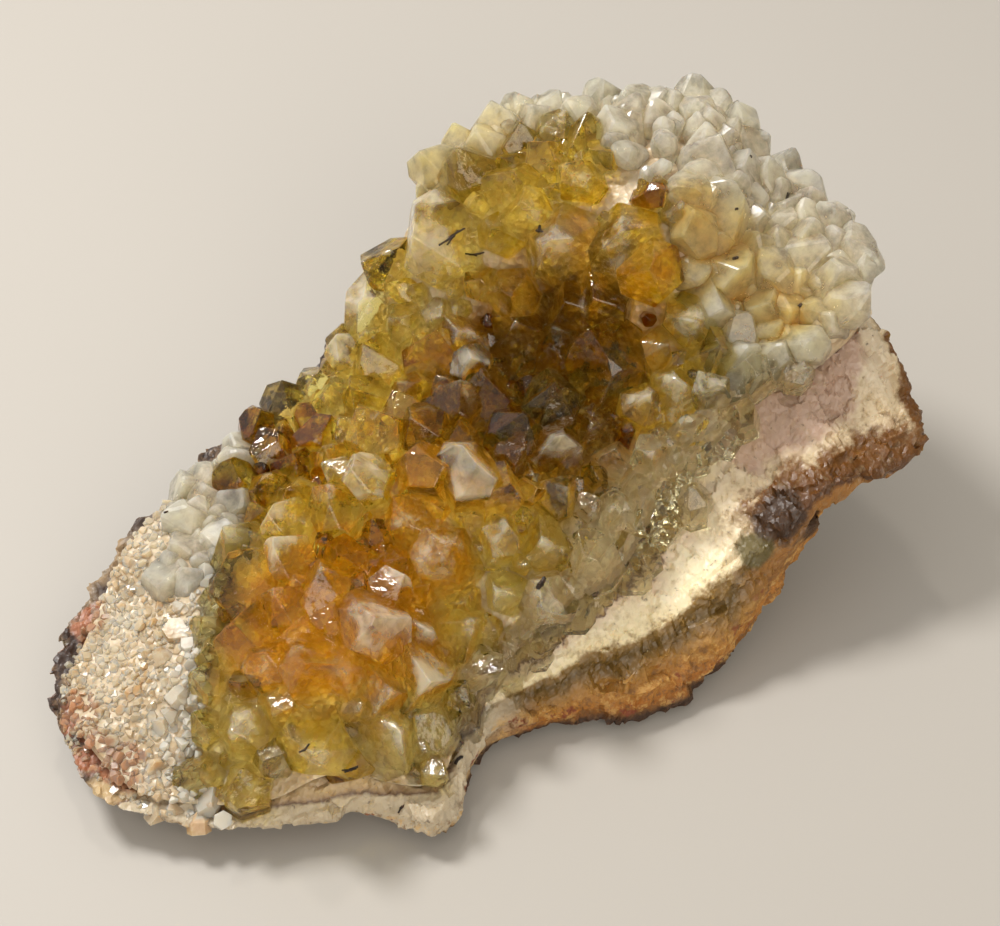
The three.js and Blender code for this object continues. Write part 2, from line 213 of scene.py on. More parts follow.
class Wire:
    """A socket of a shader, with sums written as Python expressions that add their Math nodes."""

    def __init__(self, finish, socket):
        self.finish = finish
        self.socket = socket

    def sum(self, operation, *values, clamp=False):
        return self.finish.node("Math", {"operation": operation, "use_clamp": clamp}, dict(enumerate(values)))

    def __add__(self, other):
        return self.sum("ADD", self, other)

    __radd__ = __add__

    def __sub__(self, other):
        return self.sum("SUBTRACT", self, other)

    def __rsub__(self, other):
        return self.sum("SUBTRACT", other, self)

    def __mul__(self, other):
        return self.sum("MULTIPLY", self, other)

    __rmul__ = __mul__

    def held(self):
        """The value kept between 0 and 1."""
        return self.sum("ADD", self, 0.0, clamp=True)

    def over(self, low, high):
        """0 below low, 1 above high, smooth between."""
        settings = {"interpolation_type": "SMOOTHSTEP"}
        return self.finish.node("MapRange", settings, {"Value": self, "From Min": low, "From Max": high})


class Finish:
    """A procedural material. node() adds one node and gives its output as a Wire."""

    def __init__(self, name):
        self.material = bpy.data.materials.new(name)
        self.material.use_nodes = True
        self.tree = self.material.node_tree
        self.tree.nodes.clear()
        self.output = self.tree.nodes.new("ShaderNodeOutputMaterial")
        self.spot = self.node("TexCoord", {}, {}, "Object")

    def node(self, kind, settings, sockets, output=0):
        node = self.tree.nodes.new("ShaderNode" + kind)
        for name, value in settings.items():
            if name == "stops":
                self.set_stops(node.color_ramp, value)
            else:
                setattr(node, name, value)
        for name, value in sockets.items():
            self.join(value, node.inputs[name])
        return Wire(self, node.outputs[output])

    def join(self, value, socket):
        if isinstance(value, Wire):
            self.tree.links.new(value.socket, socket)
        else:
            socket.default_value = value

    @staticmethod
    def set_stops(ramp, stops):
        while len(ramp.elements) < len(stops):
            ramp.elements.new(1.0)
        for element, (position, colour) in zip(ramp.elements, stops):
            element.position = position
            element.color = colour

    def mixed(self, first, second, share):
        """Two colours mixed by a share of the second."""
        return self.node("Mix", {"data_type": "RGBA"}, {0: share, 6: first, 7: second}, 2)

    def toned(self, place, stops):
        """The colour at a place along a row of tones."""
        return self.node("ValToRGB", {"stops": stops}, {"Fac": place})

    def grain(self, size_mm, detail=2.0, roughness=0.5, distortion=0.0):
        """Noise whose lumps are about that many millimetres across."""
        sockets = {
            "Vector": self.spot,
            "Scale": 1 / (size_mm * MM),
            "Detail": detail,
            "Roughness": roughness,
            "Distortion": distortion,
        }
        return self.node("TexNoise", {}, sockets)

    def cells(self, size_mm):
        """Distance from the middle of cells about that many millimetres across."""
        return self.node("TexVoronoi", {}, {"Vector": self.spot, "Scale": 1 / (size_mm * MM)}, "Distance")

    def attribute(self, name):
        return self.node("Attribute", {"attribute_name": name}, {}, "Fac")

    def relief(self, height, depth_mm):
        """A normal from a height that ranges from 0 to 1."""
        return self.node("Bump", {}, {"Height": height, "Distance": depth_mm * MM, "Strength": 1.0})

    def show(self, surface, volume=None):
        self.join(surface, self.output.inputs["Surface"])
        if volume is not None:
            self.join(volume, self.output.inputs["Volume"])
        return self.material


MASSIVE_IOR = 1.54
WALL_TONES = [  # down the wall: cut crystals, a thin dark line, lilac-grey to white quartz, olive, rind
    (0.0, as_colour(196, 174, 124)), (0.085, as_colour(184, 156, 106)), (0.105, as_colour(104, 74, 56)),
    (0.13, as_colour(226, 206, 182)), (0.2, as_colour(244, 230, 200)), (0.29, as_colour(242, 226, 186)),
    (0.34, as_colour(138, 106, 50)), (0.42, as_colour(98, 74, 26)), (0.5, as_colour(126, 94, 40)),
    (0.6, as_colour(166, 120, 50)), (0.78, as_colour(168, 106, 32)), (1.0, as_colour(100, 62, 22)),
]
SLAB_TONES = [  # down the slab: white quartz, a brown band, then tan and orange rind
    (0.0, as_colour(210, 194, 170)), (0.12, as_colour(218, 202, 176)), (0.22, as_colour(212, 192, 158)),
    (0.27, as_colour(114, 72, 22)), (0.39, as_colour(84, 48, 12)), (0.44, as_colour(160, 108, 40)),
    (0.6, as_colour(138, 94, 40)), (0.78, as_colour(180, 120, 46)), (1.0, as_colour(142, 92, 36)),
]
LOBE_TONES = [  # down the front of the low lobe: beige grains, dark specks, then pale quartz
    (0.0, as_colour(196, 170, 128)), (0.08, as_colour(176, 150, 116)), (0.13, as_colour(112, 86, 66)),
    (0.18, as_colour(196, 180, 152)), (0.7, as_colour(190, 176, 152)), (0.85, as_colour(172, 142, 100)),
    (1.0, as_colour(140, 106, 68)),
]
AMETHYST = as_colour(176, 144, 126)
RIND_CREAM = as_colour(206, 164, 96)
RIND_BROWN = as_colour(116, 80, 40)
RED_SPECK = as_colour(124, 54, 24)
NOTCH_BROWN = as_colour(58, 34, 14)
MOSS_OLIVE = as_colour(98, 88, 44)
RUST_RED = as_colour(172, 112, 80)
# Painted shade: the dark brown painted where the specimen meets the floor
CONTACT_SHADE_PAINT = as_colour(62, 38, 20)
DARK_SKIN = as_colour(58, 42, 36)
BACK_SKIN = as_colour(140, 114, 88)
PALE_SKIN = as_colour(186, 158, 118)


def massive_quartz_finish():
    f = Finish("massive_quartz")
    drop, slab = f.attribute("drop"), f.attribute("slab")
    wide, middle, fine = f.grain(8, 3, 0.55), f.grain(2.5, 4, 0.65), f.grain(0.8, 3, 0.6)
    along = (drop + (wide - 0.5) * 0.9 + (middle - 0.5) * 0.5 + (fine - 0.5) * 0.25) * (1 / 3)
    wall = f.toned(along, WALL_TONES)
    colour = f.mixed(wall, f.toned(along, SLAB_TONES), slab)
    colour = f.mixed(colour, f.toned(along, LOBE_TONES), f.attribute("lobe_side"))
    colour = f.mixed(colour, AMETHYST, (f.attribute("lilac") - along * 4.2 + middle).over(0.5, 0.85) * 0.85)
    colour = f.mixed(colour, as_colour(164, 140, 104), (middle + fine - 0.5).over(0.5, 0.85) * 0.45)
    rind = drop.over(1.5, 2.0)
    speckle = f.grain(1.4, 4, 0.7)
    colour = f.mixed(colour, RIND_CREAM, rind * speckle.over(0.52, 0.62) * 0.6)
    colour = f.mixed(colour, RIND_BROWN, rind * (1 - speckle).over(0.52, 0.62) * 0.75)
    colour = f.mixed(colour, RED_SPECK, rind * f.grain(2.2, 4, 0.6).over(0.6, 0.66) * 0.85)
    colour = f.mixed(colour, MOSS_OLIVE, (f.attribute("moss") + (middle - 0.5)).over(0.3, 0.6) * 0.85)
    notch = (f.attribute("notch") + (middle - 0.5) * 0.9).over(0.35, 0.6)
    colour = f.mixed(colour, NOTCH_BROWN, notch * 0.92)
    skin_colour = f.mixed(BACK_SKIN, DARK_SKIN, f.grain(5, 5, 0.7).over(0.34, 0.5))
    skin_colour = f.mixed(skin_colour, PALE_SKIN, f.grain(12, 3).over(0.56, 0.66) * 0.6)
    colour = f.mixed(colour, skin_colour, (f.attribute("off_wall") + (middle - 0.5) * 0.4).over(0.3, 0.7))
    colour = f.mixed(colour, RUST_RED, (f.attribute("rust") + (middle - 0.5) * 0.8).over(0.35, 0.6) * 0.8)
    colour = f.mixed(colour, DARK_SKIN, fine.over(0.66, 0.72) * 0.55)
    # Painted contact shade: the lowest part darkens towards the floor
    colour = f.mixed(colour, CONTACT_SHADE_PAINT, (f.attribute("underside") + (middle - 0.5) * 0.6).over(0.2, 0.8))
    glassy = f.cells(1.1) * (1 - rind) * 0.8
    relief = f.relief(middle * 0.6 + fine * (0.3 + rind * 0.9) + glassy, 0.26)
    surface = f.node("BsdfPrincipled", {}, {
        "Base Color": colour, "Roughness": 0.26 + 0.3 * middle + rind * 0.3, "Normal": relief,
        "IOR": MASSIVE_IOR,
        "Subsurface Weight": 0.4, "Subsurface Radius": (1.0, 0.8, 0.6), "Subsurface Scale": 1.5 * MM,
    })
    return f.show(surface)


massive.data.materials.clear()
massive.data.materials.append(massive_quartz_finish())
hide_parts("quartz_matrix")
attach(massive, "root")

# The layer of grown-together crystal roots that lies on the massive quartz. Little of it shows between
# the crystals: milky where it is thin and sugary at the left flank, golden to brown down in the valley,
# where the brown is partly the valley's own colour and partly painted shade in the gaps between crystals.
SPREAD = 6.5
SPOT_HEIGHTS = np.array([
    (-54, 7, 9), (-49, -16, 6), (-37, -3, 14), (-36, 19, 15), (-25, -28, 6), (-26, -11, 19), (-21, 24, 16),
    (-3, -9, 25), (1, -18, 14), (-15, -19, 7), (14, -14, 20), (28, -13, 28), (46, -12, 35), (47, -2, 37),
    (34, 22, 42), (26, 10, 43), (20, 30, 41), (9, 28, 38), (-3, 27, 19), (3, 7, 22), (13, 0, 26),
], float)
BED_EDGE = [
    (-26, -26.5), (-20, -22.5), (-15, -19), (1, -18), (14, -13), (28, -12), (40, -14), (45, -9), (48, 1),
    (45, 14), (36, 24), (23, 31), (8, 30), (-9, 26), (-23, 22), (-37, 17), (-49, 10), (-55, 1), (-53, -10),
    (-44, -18), (-34, -22),
]
SPINE = (-34, 36)
ROOT_RINGS = 30
ROOT_POINTS = 260
ROOT_LUMP = 0.55
ROOTS_LOWERED = 2.2
FLANK_LINE = -38.6
KNOBS_FROM_X = 27
BACK_KNOBS_FROM = (8, 27)


def bed_height(x, y):
    """Height of the crystal bed at spots of the plan, in millimetres."""
    x, y = np.asarray(x, float), np.asarray(y, float)
    distance = (x[..., None] - SPOT_HEIGHTS[:, 0]) ** 2 + (y[..., None] - SPOT_HEIGHTS[:, 1]) ** 2
    weight = np.exp(-distance / (2 * SPREAD**2)) + 1e-9
    return (weight * SPOT_HEIGHTS[:, 2]).sum(-1) / weight.sum(-1)


def crust_depth(x, y):
    """Thickness of the layer of grown-together roots, thin at the low edges."""
    return np.clip(0.3 * (bed_height(x, y) - 4.5), 1.3, 5)


def edge_curve(count):
    """Points along the edge of the bed, on one smooth closed curve."""
    stops = np.array(BED_EDGE, float)
    share = np.linspace(0, len(stops), count, endpoint=False)
    index = share.astype(int)
    t = (share - index)[:, None]
    before, start, end, after = (stops[(index + k) % len(stops)] for k in (-1, 0, 1, 2))
    slope_in, slope_out = (end - before) / 2, (after - start) / 2
    return (
        (2 * t**3 - 3 * t**2 + 1) * start
        + (t**3 - 2 * t**2 + t) * slope_in
        + (3 * t**2 - 2 * t**3) * end
        + (t**3 - t**2) * slope_out
    )


def edge_drawn_in(share, count=240):
    """The edge of the bed drawn in towards the spine of the specimen."""
    edge = edge_curve(count)
    spine_x = np.clip(edge[:, 0], *SPINE)
    return np.stack([spine_x + (edge[:, 0] - spine_x) * share, edge[:, 1] * share], -1)


def in_frame(points_mm):
    """Plan points in millimetres as points of the frame in metres."""
    return (np.asarray(points_mm, float) + PLAN_SHIFT) * MM


def flank(px, py):
    """How far spots lie out on the broken left flank, in millimetres."""
    return FLANK_LINE + 0.765 * np.maximum(py, -12) - px


def roots_mesh():
    shares = np.linspace(0.03, 1, ROOT_RINGS)
    rings = []
    for share, depth in [(s, 1.0) for s in shares] + [(1.015, 0.5)] + [(s, 0.0) for s in shares[::-1]]:
        plan_xy = edge_drawn_in(share, ROOT_POINTS)
        x, y = plan_xy[:, 0], plan_xy[:, 1]
        thickness = crust_depth(x, y)
        back = np.minimum(x - BACK_KNOBS_FROM[0], y - BACK_KNOBS_FROM[1])
        knobbly = np.clip((np.maximum(x - KNOBS_FROM_X, back) + 1) / 3, 0, 1)
        sugary = np.clip(flank(x, y) / 1.5, 0, 1)
        lowered = np.minimum(ROOTS_LOWERED * (1 - knobbly * 0.55) * (1 - sugary * 0.96), 0.5 * thickness)
        z = bed_height(x, y) - np.maximum(depth * thickness, lowered)
        if depth == 0:
            lumps = np.array([noise.noise(Vector((a * 0.9, b * 0.9, 0))) for a, b in plan_xy])
            z = z + lumps * ROOT_LUMP * (1 - sugary * 0.7)
        rings.append(np.stack([x, y, z], -1))
    points = in_frame(np.concatenate(rings))
    faces = []
    for ring in range(len(rings) - 1):
        for i in range(ROOT_POINTS):
            j = (i + 1) % ROOT_POINTS
            low, high = ring * ROOT_POINTS, (ring + 1) * ROOT_POINTS
            faces.append((low + i, low + j, high + j, high + i))
    mesh = bmesh.new()
    corners = [mesh.verts.new(p) for p in points]
    for face in faces:
        mesh.faces.new([corners[i] for i in face])
    mesh.edges.ensure_lookup_table()
    open_edges = [edge for edge in mesh.edges if edge.is_boundary]
    bmesh.ops.triangle_fill(mesh, use_beauty=True, use_dissolve=False, edges=open_edges)
    bmesh.ops.recalc_face_normals(mesh, faces=mesh.faces)
    data = bpy.data.meshes.new("crystal_roots")
    mesh.to_mesh(data)
    mesh.free()
    return data


roots = bpy.data.objects.new("crystal_roots", roots_mesh())
bpy.context.scene.collection.objects.link(roots)
plan = points_of(roots.data) / MM - PLAN_SHIFT
valley = np.exp(-(((plan[:, 0] - 6) / 17) ** 2 + ((plan[:, 1] - 4) / 15) ** 2))
lobe = np.exp(-(((plan[:, 0] + 27) / 13) ** 2 + ((plan[:, 1] + 7) / 12) ** 2))
mark(roots.data, "valley", valley)
mark(roots.data, "lobe", lobe)

MILK_WHITE = as_colour(218, 200, 172)
MILK_GREEN = as_colour(196, 172, 138)
HONEY = as_colour(206, 146, 32)
UMBER_AND_PAINTED_SHADE = as_colour(70, 34, 4)


def roots_finish():
    f = Finish("crystal_roots")
    golden = (f.attribute("lobe") * 1.1 + f.attribute("valley") + (f.grain(5, 4) - 0.5) * 0.6).over(0.25, 0.7)
    # Partly painted shade: the roots down in the valley darken to umber between the crystals, partly the
    # valley's own brown
    deep = (f.attribute("valley") + (f.grain(4, 4) - 0.5) * 0.7).over(0.35, 0.7)
    colour = f.mixed(MILK_WHITE, MILK_GREEN, f.grain(3, 4).over(0.4, 0.6))
    colour = f.mixed(colour, HONEY, golden)
    colour = f.mixed(colour, UMBER_AND_PAINTED_SHADE, deep * 0.85)
    surface = f.node("BsdfPrincipled", {}, {
        "Base Color": colour, "Roughness": 0.35, "IOR": MASSIVE_IOR, "Normal": f.relief(f.cells(0.9), 0.4),
        "Subsurface Weight": 0.4, "Subsurface Radius": (1.0, 0.7, 0.4), "Subsurface Scale": 1.5 * MM,
    })
    return f.show(surface)


roots.data.materials.append(roots_finish())
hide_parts("crystal_crust")
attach(roots, "root")

# The larger quartz points, each a six-sided prism closed by six tip faces that grew unevenly. Quartz tip
# faces stand about 52 degrees off square to the axis. Colour runs from smoky amber in the valley to
# nearly clear on the dome.
TIP_TILT = math.radians(51.8)
PLANES = 13
CORNERS = np.array(list(itertools.combinations(range(PLANES), 3)))
LOBE_POINTS = [
    (-24, 12, 2, 3.4, 0, -0.1, "deep"), (-22, 9, 2.2, 4.2, -0.3, -0.2, "amber"),
    (-17, 12, 1.6, 3, 0, 0, "deep"), (-26, 4, 4, 5, -0.25, -0.1, "champagne"),
    (-20.5, 2, 2.8, 4.6, 0.1, 0, "gold"), (-15.5, 2, 2.2, 6, 0.1, 0, "champagne"),
    (-10.5, -1.5, 2.8, 5.2, 0.35, -0.5, "amber"), (-7.5, -5, 2.8, 7, 0.1, 0, "clear"),
    (-13, -9, 3.3, 5, 0.1, -0.3, "gold"), (-17.5, -6.5, 2, 3.4, 0, -0.2, "amber"),
    (-25, -12, 3.5, 5, -0.2, -0.2, "champagne"), (-20.5, -13.5, 2.5, 3.6, 0, -0.3, "champagne"),
    (-16, -14.3, 3, 4.4, 0.1, -0.2, "olive"), (-22.6, -17.5, 4.2, 6, -0.3, -0.5, "clear"),
    (-24.5, -14.5, 1.8, 3, 0, 0, "gold"), (-36.5, -5.7, 3.3, 4.6, -0.2, 0, "amber"),
    (-31.5, -5.6, 2.6, 4.4, 0, 0.1, "amber"), (-32.4, 0.6, 3.5, 5.4, 0, 0.2, "gold"),
    (-31, 6, 3, 5, -0.3, 0.2, "olive"), (-31, 3.5, 2, 4, 0, 0, "clear"),
    (-40.4, -4.3, 1.5, 2.6, 0, 0, "olive"), (-32, -14.4, 3.2, 4.8, 0, -0.3, "gold"),
    (-35.3, -19, 3.1, 4.4, -0.1, -0.2, "amber"), (-40.8, -13, 3.2, 4.6, -0.2, -0.1, "olive"),
    (-46.4, -13, 2.5, 3, 0, -0.1, "gold"), (-27.6, -18.3, 3, 4.2, 0, -0.1, "olive"),
    (-28.7, -22.2, 2.8, 3.6, 0, -0.2, "clear"), (-12.9, -12.5, 1.8, 3.4, 0.1, 0, "champagne"),
    (-35.5, -10.4, 2.6, 3.6, 0, -0.1, "gold"), (-27.4, 0, 2.6, 4, 0, 0, "champagne"),
    (-26.5, -6.4, 2.8, 4, 0, 0, "champagne"),
]
VALLEY_POINTS = [
    (0, 14, 3.3, 4.6, 0, 0, "deep"), (3.4, 10.8, 1.9, 7, -0.3, -0.5, "clear"),
    (4.1, 14.3, 2.8, 4, 0, 0, "champagne"), (14.8, -0.9, 4.2, 8, -0.15, 0.3, "deep"),
    (1.5, 3.5, 3, 5, 0, 0, "deep"), (1, -2.5, 3.2, 5, 0.1, -0.3, "deep"), (10.4, 4, 2, 4, 0, -0.2, "deep"),
    (10, 10, 2.6, 4, 0, 0, "olive"), (12.5, 5.6, 2.3, 3.8, 0, 0, "olive"),
    (10.4, 12.4, 2.6, 4.2, 0, 0, "deep"), (15, 7, 3, 5, 0, 0, "deep"), (18, 4.8, 3, 5, 0, 0, "deep"),
    (-2.9, 4.5, 2.4, 5, 0, 0, "amber"), (-8.3, 15.4, 2.5, 4.2, -0.3, -0.4, "gold"),
    (-4.5, 19.7, 3, 4.4, -0.1, 0, "gold"), (-7, 23.4, 1.8, 4.4, 0, 0, "clear"),
    (-12, 13.6, 2.3, 3.8, -0.1, 0, "amber"), (-11.5, 7, 2.8, 4.6, 0, 0, "gold"),
    (-15.2, 10.8, 1.8, 3, 0, 0, "champagne"), (6.4, -1.2, 2.8, 5, 0, -0.2, "amber"),
    (3.5, -6, 3, 4, 0, -0.2, "champagne"), (1, -10.8, 2.2, 3.2, 0, -0.3, "olive"),
    (-5.4, -7.5, 2.6, 4, 0.2, -0.3, "amber"),
]
DOME_POINTS = [
    (13, 26, 3.2, 4.4, 0, 0, "gold"), (10.5, 31, 2.5, 3.4, -0.1, 0.2, "champagne"),
    (5.5, 31, 3.2, 4, -0.4, 0.2, "champagne"), (2.3, 28.4, 2.6, 4, -0.4, 0.1, "gold"),
    (6.7, 23, 4.2, 5.6, -0.1, 0, "champagne"), (15.3, 20, 3, 4.4, 0, -0.1, "amber"),
    (11.7, 18.2, 2.2, 3.6, 0, 0, "amber"), (15.1, 16.7, 2.6, 4, 0, 0, "amber"),
    (17.2, 10.8, 4, 4.6, 0, 0, "olive"), (21.5, 6, 3.6, 4.6, 0, 0, "amber"),
    (22.8, 2.2, 3, 4.6, 0, 0, "deep"), (23.2, 12, 3, 4, 0, 0, "olive"),
    (11.6, 13.8, 2.4, 5, 0, -0.1, "amber"), (18.5, 30, 2.5, 3.2, 0, 0.1, "champagne"),
    (19.5, 26, 2.5, 3, 0, 0, "gold"), (24.5, -2.5, 2.6, 4, 0, 0, "gold"),
    (28, -2.8, 2.8, 3.4, 0, -0.2, "champagne"), (31.5, -2, 3, 3.4, 0, 0, "gold"),
    (33.5, -6, 2.6, 3, 0, -0.2, "clear"), (25.5, -7, 3, 4, 0.1, -0.3, "champagne"),
    (19.5, -7.5, 3, 4.2, 0.1, -0.3, "champagne"), (33, 2.5, 3, 3, 0, 0, "clear"),
    (29, 8.4, 2.8, 3.4, 0, -0.2, "clear"), (35, 8, 2.9, 3, 0, 0, "clear"),
    (29.4, 14.6, 3, 3.2, 0, 0, "clear"), (25.5, 20, 2.8, 3, 0, 0, "champagne"),
]
TINTS = {  # warmth from colourless to brown, and how much of the crystal is milky
    "deep": (1.12, 0.0), "amber": (0.7, 0.15), "gold": (0.54, 0.22), "olive": (0.46, 0.3),
    "champagne": (0.34, 0.5), "clear": (0.1, 0.45), "sugar": (1.0, 1.0), "icy": (0.0, 0.0),
}


def quartz_bodies(radius, height, root, rng, uneven=0.45):
    """Corner points and faces of quartz points standing on +Z, in millimetres, one body per radius."""
    count = len(radius)
    radius, height = radius[:, None], height[:, None]
    turn = np.radians(60) * np.arange(6) + rng.uniform(-0.05, 0.05, (count, 6))
    tip_turn = np.radians(60) * np.arange(6) + rng.uniform(-0.04, 0.04, (count, 6))
    flat = np.zeros((count, 6))
    sides = np.stack([np.cos(turn), np.sin(turn), flat], -1)
    sloped = math.sin(TIP_TILT)
    tips = np.stack([np.cos(tip_turn) * sloped, np.sin(tip_turn) * sloped, flat + math.cos(TIP_TILT)], -1)
    base = np.broadcast_to(np.array([0, 0, -1.0]), (count, 1, 3))
    normals = np.concatenate([sides, tips, base], 1)
    every_other = (np.arange(6) % 2) * 0.35 * rng.uniform(0, 1.4, (count, 1))
    set_back = every_other + rng.uniform(0, uneven, (count, 6))
    reach = np.concatenate([
        radius * 0.87 * rng.uniform(0.8, 1.12, (count, 6)),
        (height + radius * (set_back - 0.15)) * math.cos(TIP_TILT),
        np.broadcast_to(np.asarray(root, float).reshape(-1, 1), (count, 1)),
    ], 1)
    a, b, c = (normals[:, CORNERS[:, k]] for k in range(3))
    reach_a, reach_b, reach_c = (reach[:, CORNERS[:, k], None] for k in range(3))
    b_c = np.cross(b, c)
    det = (a * b_c).sum(-1, keepdims=True)
    sound = np.abs(det) > 1e-4
    corner = (reach_a * b_c + reach_b * np.cross(c, a) + reach_c * np.cross(a, b)) / np.where(sound, det, 1)
    within = (np.einsum("npk,nck->ncp", normals, corner) <= reach[:, None, :] + 1e-5).all(-1) & sound[..., 0]
    bodies = []
    for index in range(count):
        kept = np.flatnonzero(within[index])
        points = corner[index, kept]
        faces = []
        for plane in range(PLANES):
            on_plane = np.flatnonzero((CORNERS[kept] == plane).any(1))
            if len(on_plane) < 3:
                continue
            normal = normals[index, plane]
            across = np.cross(normal, (0.3, 0.5, 0.81))
            across /= np.linalg.norm(across)
            along = np.cross(normal, across)
            spread = points[on_plane] - points[on_plane].mean(0)
            order = np.argsort(np.arctan2(spread @ along, spread @ across))
            faces.append(on_plane[order].tolist())
        bodies.append((points, faces))
    return bodies


def upright_to(axis, twist):
    """Turns +Z to the axis, after a twist about it."""
    turn = Vector((0, 0, 1)).rotation_difference(Vector(axis)).to_matrix() @ Matrix.Rotation(twist, 3, "Z")
    return np.array(turn)


def bed_normal(x, y, upright=1.4):
    """Directions square to the bed, softened towards upright."""
    reach = 2.0
    slope_x = (bed_height(x + reach, y) - bed_height(x - reach, y)) / (2 * reach)
    slope_y = (bed_height(x, y + reach) - bed_height(x, y - reach)) / (2 * reach)
    normal = np.stack([-slope_x, -slope_y, np.full_like(slope_x, upright)], -1)
    return normal / np.linalg.norm(normal, axis=-1, keepdims=True)


def with_lean(x, y, lean_x, lean_y):
    """Axes square to the bed, leaning over by the given amounts."""
    axes = bed_normal(x, y) + np.stack([lean_x, lean_y, np.zeros_like(lean_x)], -1)
    return axes / np.linalg.norm(axes, axis=1, keepdims=True)


class Growth:
    """Crystals that grew into each other: each is one closed body, and join() fuses them into one."""

    def __init__(self):
        self.nursery = bpy.data.collections.new("nursery")
        bpy.context.scene.collection.children.link(self.nursery)

    def add(self, points_mm, faces, worn_mm, values):
        """One crystal, its edges worn by that much, with the same values at all its points."""
        points = in_frame(points_mm)
        if (points < BOX_LOW - 0.4 * MM).any() or (points > BOX_HIGH + 0.4 * MM).any():
            return
        body = bmesh.new()
        corners = [body.verts.new(p) for p in np.clip(points, BOX_LOW, BOX_HIGH)]
        for face in faces:
            body.faces.new([corners[i] for i in face])
        bmesh.ops.remove_doubles(body, verts=body.verts[:], dist=max(2.2 * worn_mm, 0.03) * MM)
        if worn_mm:
            bmesh.ops.bevel(
                body, geom=body.edges[:], offset=worn_mm * MM, segments=1, profile=0.5, affect="EDGES",
                clamp_overlap=True,
            )
        mesh = bpy.data.meshes.new("crystal")
        body.to_mesh(mesh)
        body.free()
        for key, value in values.items():
            mark(mesh, key, np.full(len(mesh.vertices), value))
        self.nursery.objects.link(bpy.data.objects.new("crystal", mesh))

    def stand(self, places, axes, radius, height, root, tints, rng, worn, uneven=0.45):
        """Quartz points of those sizes, stood at the places along the axes."""
        bodies = quartz_bodies(radius, height, root, rng, uneven)
        for (points, faces), place, axis, tint in zip(bodies, places, axes, tints):
            placed = points @ upright_to(axis, rng.uniform(0, math.pi)).T + place
            warmth, milk = TINTS[tint]
            self.add(placed, faces, worn, {"lot": rng.uniform(), "warmth": warmth, "milk": milk})

    def join(self, name):
        """The crystals fused into one piece, each point of it marked with its height above the bed."""
        members = list(self.nursery.objects)
        core = bpy.data.objects.new(name + "_core", members[0].data)
        bpy.context.scene.collection.objects.link(core)
        union = core.modifiers.new("grown together", "BOOLEAN")
        union.operation, union.operand_type, union.solver = "UNION", "COLLECTION", "MANIFOLD"
        union.collection = self.nursery
        mesh = bpy.data.meshes.new_from_object(core.evaluated_get(bpy.context.evaluated_depsgraph_get()))
        bpy.data.objects.remove(core)
        for member in members:
            data = member.data
            bpy.data.objects.remove(member)
            bpy.data.meshes.remove(data)
        bpy.data.collections.remove(self.nursery)
        mesh.name = name
        mesh.materials.clear()
        plan = points_of(mesh) / MM - PLAN_SHIFT
        mark(mesh, "above", plan[:, 2] - bed_height(plan[:, 0], plan[:, 1]))
        piece = bpy.data.objects.new(name, mesh)
        bpy.context.scene.collection.objects.link(piece)
        return piece


FACE_LINE = [(-22, -28), (-15, -17), (1, -13), (14, -8), (28, -7), (48, -5)]
FLANK_KNOBS_FROM_Y = 7
LARGE_SWELL, LARGE_ROOT, LARGE_WORN = 1.45, 3.4, 0.12


def on_dome(px, py):
    """Above 0 where the quartz is frosted: the far side of the dome, and the knobs behind the flank."""
    back = min(px - BACK_KNOBS_FROM[0], py - BACK_KNOBS_FROM[1])
    return max(px - KNOBS_FROM_X, back, min(flank(px, py), py - FLANK_KNOBS_FROM_Y))


def beside_face(px, py):
    """Above 0 along the broken face, where the crystals are pale."""
    return np.interp(px, *np.array(FACE_LINE, float).T) - py if px > -20 else -1


listed = [*LOBE_POINTS, *VALLEY_POINTS, *DOME_POINTS]
x, y, radius, height, lean_x, lean_y = np.array([row[:6] for row in listed], float).T
listed_tints = [row[6] for row in listed]
sources = np.stack([x, y], -1)
large_rng = np.random.default_rng(5)
golden, pale, frosted = Growth(), Growth(), Growth()
places, axes = np.stack([x, y, bed_height(x, y)], -1), with_lean(x, y, lean_x, lean_y)
knobbly = np.array([on_dome(a, b) > 0 for a, b in zip(x, y)])
by_face = ~knobbly & np.array([beside_face(a, b) > 0 for a, b in zip(x, y)])
for growth, chosen in ((golden, ~knobbly & ~by_face), (pale, by_face), (frosted, knobbly)):
    growth.stand(
        places[chosen], axes[chosen], radius[chosen] * LARGE_SWELL, height[chosen],
        np.full(chosen.sum(), LARGE_ROOT), [tint for tint, take in zip(listed_tints, chosen) if take],
        large_rng, worn=LARGE_WORN, uneven=0.75,
    )

# Smaller points crowd the bed between the larger ones and take after them. The far side of the dome is
# knobbly and frosted instead, and the left flank is broken quartz with no points on it.
FILL_SIZES = [  # least and most radius, number of tries, and how closely they crowd
    (2.6, 3.6, 5000, 0.66), (1.7, 2.6, 6000, 0.66), (1.0, 1.6, 7000, 0.62),
]
FILL_X, FILL_Y = (-57, 49), (-28, 33)
FILL_ROOT, FILL_WORN, KNOB_WORN = 3.0, 0.08, 0.26
CROWN_LIFT = 1.3
fill_rng = np.random.default_rng(11)
standing = list(zip(x, y, radius * 1.15))


def inside_bed(x, y, share=1.0):
    """True where a spot of the plan lies inside the edge of the bed."""
    ring = edge_drawn_in(share, 120)
    ahead = np.roll(ring, 1, 0)
    crosses = (ring[:, 1] > y) != (ahead[:, 1] > y)
    rise = np.where(crosses, ahead[:, 1] - ring[:, 1], 1.0)
    cut = (ahead[:, 0] - ring[:, 0]) * (y - ring[:, 1]) / rise + ring[:, 0]
    return bool(np.count_nonzero(crosses & (x < cut)) % 2)


def tint_near(px, py):
    """The tint of a listed crystal near by."""
    jitter = fill_rng.normal(size=2) * 2
    distance = ((sources - (px + jitter[0], py + jitter[1])) ** 2).sum(1)
    return listed_tints[int(distance.argmin())]


